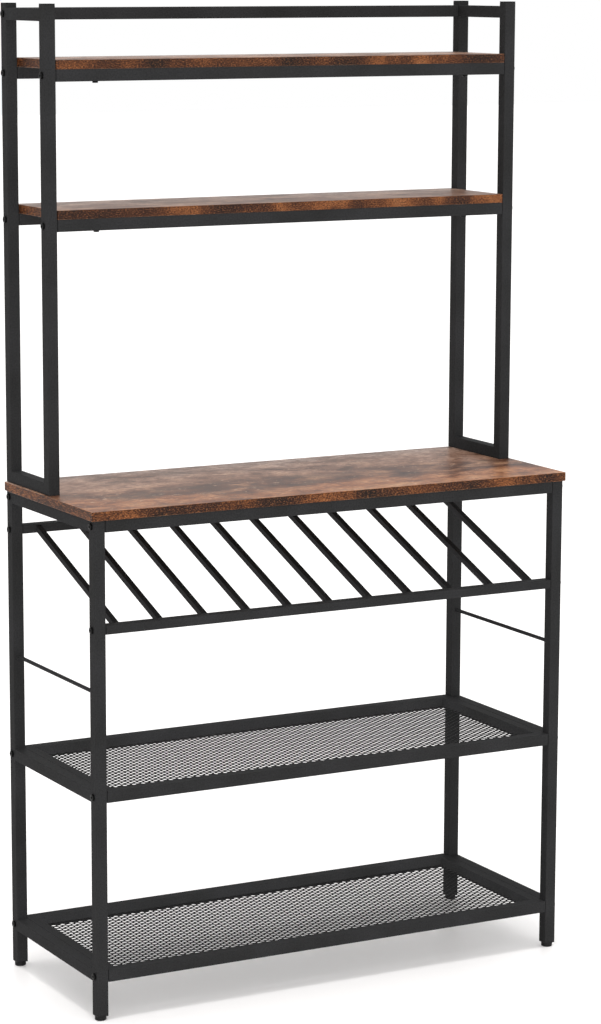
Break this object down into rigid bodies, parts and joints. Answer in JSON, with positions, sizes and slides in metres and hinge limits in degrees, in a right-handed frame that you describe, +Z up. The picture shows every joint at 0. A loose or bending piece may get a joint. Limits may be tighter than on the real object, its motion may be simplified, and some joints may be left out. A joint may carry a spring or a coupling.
{
  "type": "kitchen baker's rack",
  "caption": "Steel kitchen rack with a sloping wine rack, mesh shelves, a wooden worktop and a narrower hutch with board shelves.",
  "frame": {"origin": "on the floor, in the middle of the four legs", "axes": "+X to the right seen from the front, +Y to the back, +Z up"},
  "size_m": [0.9, 0.353, 1.651],
  "materials": {
    "frame_steel": "matt black powder coat on square steel tube",
    "mesh_steel": "matt black powder coat on expanded steel mesh",
    "bolt_steel": "black zinc-plated steel bolts and screws",
    "rustic_board": "rustic brown wood-grain foil on particle board",
    "plug_plastic": "black moulded plastic plugs",
    "foot_plastic": "black moulded levelling feet"
  },
  "bodies": {
    "rack": {"frame_bolts": "bolt_steel", "hutch_top_back_rail": "frame_steel", "left_back_leg": "frame_steel", "left_front_leg": "frame_steel", "left_hutch_back_post": "frame_steel", "left_hutch_bottom_rail": "frame_steel", "left_hutch_front_post": "frame_steel", "left_hutch_top_rail": "frame_steel", "left_lower_side_rail": "frame_steel", "left_side_rod": "frame_steel", "left_top_side_rail": "frame_steel", "left_upper_side_rail": "frame_steel", "lower_mesh": "mesh_steel", "lower_mesh_back_rail": "frame_steel", "lower_mesh_front_rail": "frame_steel", "lower_mesh_left_rail": "frame_steel", "lower_mesh_right_rail": "frame_steel", "lower_shelf_back_rail": "frame_steel", "lower_shelf_board": "rustic_board", "lower_shelf_front_rail": "frame_steel", "right_back_leg": "frame_steel", "right_front_leg": "frame_steel", "right_hutch_back_post": "frame_steel", "right_hutch_bottom_rail": "frame_steel", "right_hutch_front_post": "frame_steel", "right_hutch_top_rail": "frame_steel", "right_lower_side_rail": "frame_steel", "right_side_rod": "frame_steel", "right_top_side_rail": "frame_steel", "right_upper_side_rail": "frame_steel", "shelf_screws": "bolt_steel", "tube_plugs": "plug_plastic", "upper_mesh": "mesh_steel", "upper_mesh_back_rail": "frame_steel", "upper_mesh_front_rail": "frame_steel", "upper_mesh_left_rail": "frame_steel", "upper_mesh_right_rail": "frame_steel", "upper_shelf_back_rail": "frame_steel", "upper_shelf_board": "rustic_board", "upper_shelf_front_rail": "frame_steel", "wine_back_rail": "frame_steel", "wine_bar_1": "frame_steel", "wine_bar_10": "frame_steel", "wine_bar_11": "frame_steel", "wine_bar_2": "frame_steel", "wine_bar_3": "frame_steel", "wine_bar_4": "frame_steel", "wine_bar_5": "frame_steel", "wine_bar_6": "frame_steel", "wine_bar_7": "frame_steel", "wine_bar_8": "frame_steel", "wine_bar_9": "frame_steel", "wine_front_rail": "frame_steel", "worktop": "rustic_board", "worktop_back_rail": "frame_steel", "worktop_front_rail": "frame_steel"},
    "left_back_foot_body": {"left_back_foot": "foot_plastic"},
    "left_front_foot_body": {"left_front_foot": "foot_plastic"},
    "right_back_foot_body": {"right_back_foot": "foot_plastic"},
    "right_front_foot_body": {"right_front_foot": "foot_plastic"}
  },
  "joints": [
    {"name": "left_back_foot_screw", "type": "slide", "parent": "rack", "child": "left_back_foot_body", "axis": [0, 0, -1], "range_m": [0, 0.01]},
    {"name": "left_front_foot_screw", "type": "slide", "parent": "rack", "child": "left_front_foot_body", "axis": [0, 0, -1], "range_m": [0, 0.01]},
    {"name": "right_back_foot_screw", "type": "slide", "parent": "rack", "child": "right_back_foot_body", "axis": [0, 0, -1], "range_m": [0, 0.01]},
    {"name": "right_front_foot_screw", "type": "slide", "parent": "rack", "child": "right_front_foot_body", "axis": [0, 0, -1], "range_m": [0, 0.01]}
  ]
}
